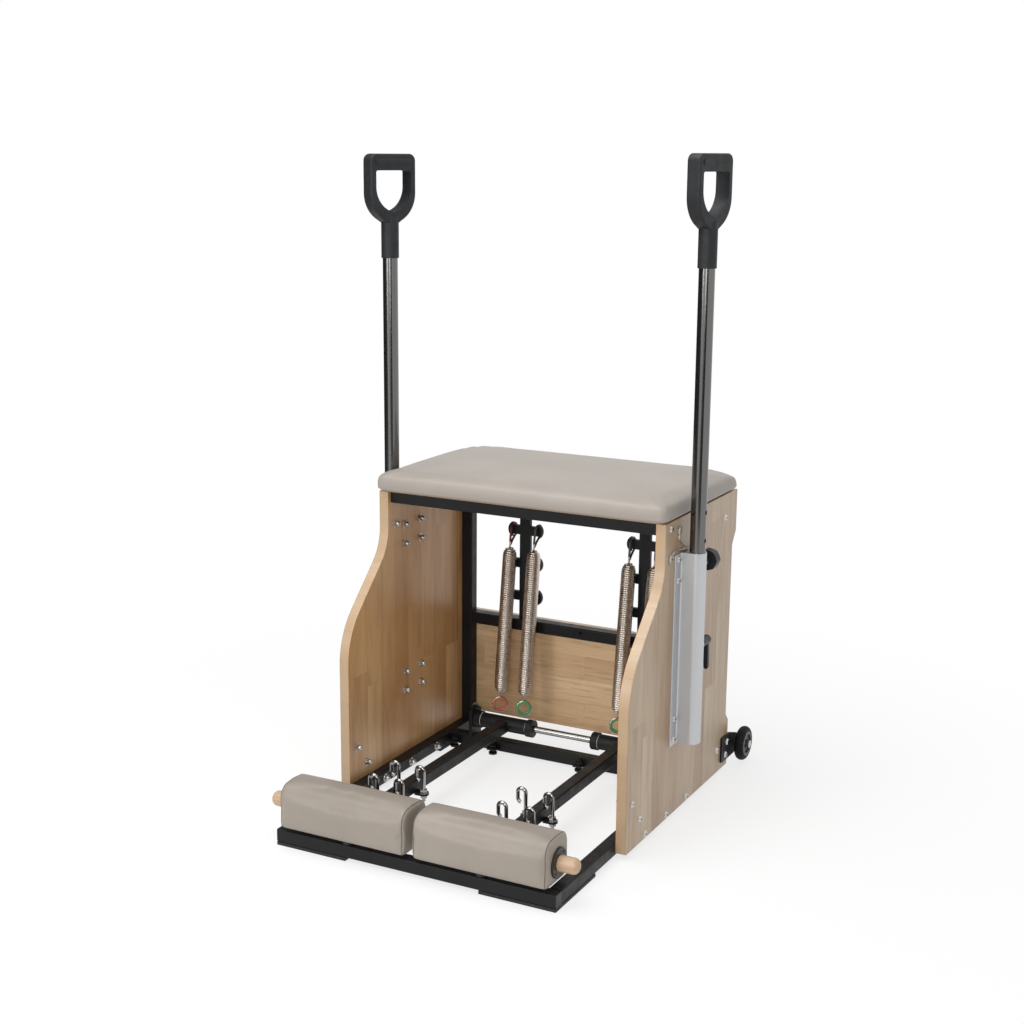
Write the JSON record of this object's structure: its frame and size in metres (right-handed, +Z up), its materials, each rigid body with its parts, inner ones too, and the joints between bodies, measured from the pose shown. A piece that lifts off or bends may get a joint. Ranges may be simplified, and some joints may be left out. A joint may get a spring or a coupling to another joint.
{
  "type": "pilates chair",
  "caption": "Split-pedal pilates chair with wooden sides, upholstered seat, hanging springs and height-adjustable handle poles.",
  "frame": {"origin": "floor level under the centre of the bounding box", "axes": "+Z up, -Y towards the pedals at the front, +X to the right of a person who looks at the front"},
  "size_m": [0.7272, 0.857, 1.258],
  "materials": {
    "black_steel": "satin black powder coat",
    "black_plastic": "moulded, slightly rough",
    "foot_rubber": "matt",
    "panel_wood": "clear satin lacquer over glued staves",
    "plywood": "unfinished",
    "seat_leather": "soft grained, taupe",
    "pad_leather": "soft grained, taupe",
    "bright_steel": "bright plated",
    "aluminium": "satin anodised",
    "bush_plastic": "machined",
    "dowel_wood": "sanded and oiled",
    "pole_metal": "dark polished",
    "handle_plastic": "fine moulded grain",
    "tyre": "smooth tread",
    "hub_plastic": "moulded grey",
    "spring_steel": "drawn wire, lightly oiled",
    "red_plastic": "moulded",
    "green_plastic": "moulded"
  },
  "bodies": {
    "frame": {"base_front_rail": "black_steel", "base_side_rails": "black_steel", "base_rear_rail": "black_steel", "rail_plugs": "black_plastic", "foot_pads": "foot_rubber", "rear_posts": "black_steel", "top_rails": "black_steel", "mid_rear_rail": "black_steel", "side_panel_left": "panel_wood", "side_panel_right": "panel_wood", "back_panel": "panel_wood", "seat_board": "plywood", "seat_cushion": "seat_leather", "spring_tree_left": "black_steel", "spring_tree_right": "black_steel", "pivot_shaft": "bright_steel", "shaft_brackets": "black_steel", "shaft_collars": "black_steel", "panel_bolts": "bright_steel", "sleeve_left": "aluminium", "sleeve_right": "aluminium", "sleeve_bolts": "bright_steel", "wheel_brackets": "black_steel", "wheel_axles": "bright_steel", "levelling_studs": "black_steel", "pedal_stops": "foot_rubber"},
    "pedal_left": {"pedal_arm_left": "black_steel", "pedal_bushes_left": "bush_plastic", "pedal_hooks_left": "bright_steel", "pedal_core_left": "plywood", "pedal_pad_left": "pad_leather", "pedal_dowel_left": "dowel_wood", "dowel_flange_left": "black_plastic"},
    "pole_left": {"pole_left": "pole_metal", "handle_left": "handle_plastic"},
    "star_knob_left": {"star_knob_left": "black_plastic"},
    "clamp_lever_left": {"clamp_lever_left": "black_plastic"},
    "wheel_left": {"wheel_tyre_left": "tyre", "wheel_hub_left": "hub_plastic"},
    "pedal_right": {"pedal_arm_right": "black_steel", "pedal_bushes_right": "bush_plastic", "pedal_hooks_right": "bright_steel", "pedal_core_right": "plywood", "pedal_pad_right": "pad_leather", "pedal_dowel_right": "dowel_wood", "dowel_flange_right": "black_plastic"},
    "pole_right": {"pole_right": "pole_metal", "handle_right": "handle_plastic"},
    "star_knob_right": {"star_knob_right": "black_plastic"},
    "clamp_lever_right": {"clamp_lever_right": "black_plastic"},
    "wheel_right": {"wheel_tyre_right": "tyre", "wheel_hub_right": "hub_plastic"},
    "spring_left_outer": {"spring_left_outer": "spring_steel", "spring_ring_left_outer": "red_plastic"},
    "spring_left_inner": {"spring_left_inner": "spring_steel", "spring_ring_left_inner": "green_plastic"},
    "spring_right_inner": {"spring_right_inner": "spring_steel", "spring_ring_right_inner": "green_plastic"},
    "spring_right_outer": {"spring_right_outer": "spring_steel", "spring_ring_right_outer": "red_plastic"}
  },
  "joints": [
    {"name": "pedal_left_hinge", "type": "hinge", "parent": "frame", "child": "pedal_left", "pos_m": [-0.138, 0.199, 0.066], "axis": [-1, 0, 0], "range_deg": [0, 45]},
    {"name": "pole_left_slide", "type": "slide", "parent": "frame", "child": "pole_left", "axis": [0, 0, 1], "range_m": [-0.108, 0.108]},
    {"name": "star_knob_left_turn", "type": "hinge", "parent": "frame", "child": "star_knob_left", "pos_m": [-0.335, 0.1295, 0.503], "axis": [0, 1, 0], "continuous": true},
    {"name": "clamp_lever_left_turn", "type": "hinge", "parent": "frame", "child": "clamp_lever_left", "pos_m": [-0.335, 0.1295, 0.343], "axis": [0, 1, 0], "range_deg": [-10, 120]},
    {"name": "wheel_left_turn", "type": "hinge", "parent": "frame", "child": "wheel_left", "pos_m": [-0.327, 0.3925, 0.044], "axis": [1, 0, 0], "continuous": true},
    {"name": "pedal_right_hinge", "type": "hinge", "parent": "frame", "child": "pedal_right", "pos_m": [0.138, 0.199, 0.066], "axis": [-1, 0, 0], "range_deg": [0, 45]},
    {"name": "pole_right_slide", "type": "slide", "parent": "frame", "child": "pole_right", "axis": [0, 0, 1], "range_m": [-0.108, 0.108]},
    {"name": "star_knob_right_turn", "type": "hinge", "parent": "frame", "child": "star_knob_right", "pos_m": [0.335, 0.1295, 0.503], "axis": [0, 1, 0], "continuous": true},
    {"name": "clamp_lever_right_turn", "type": "hinge", "parent": "frame", "child": "clamp_lever_right", "pos_m": [0.335, 0.1295, 0.343], "axis": [0, 1, 0], "range_deg": [-120, 10]},
    {"name": "wheel_right_turn", "type": "hinge", "parent": "frame", "child": "wheel_right", "pos_m": [0.327, 0.3925, 0.044], "axis": [1, 0, 0], "continuous": true},
    {"name": "spring_left_outer_swing", "type": "hinge", "parent": "frame", "child": "spring_left_outer", "pos_m": [-0.1665, 0.288, 0.47101], "axis": [-1, 0, 0], "range_deg": [0, 25]},
    {"name": "spring_left_inner_swing", "type": "hinge", "parent": "frame", "child": "spring_left_inner", "pos_m": [-0.1095, 0.288, 0.47101], "axis": [-1, 0, 0], "range_deg": [0, 25]},
    {"name": "spring_right_inner_swing", "type": "hinge", "parent": "frame", "child": "spring_right_inner", "pos_m": [0.1095, 0.288, 0.47101], "axis": [-1, 0, 0], "range_deg": [0, 25]},
    {"name": "spring_right_outer_swing", "type": "hinge", "parent": "frame", "child": "spring_right_outer", "pos_m": [0.1665, 0.288, 0.47101], "axis": [-1, 0, 0], "range_deg": [0, 25]}
  ]
}
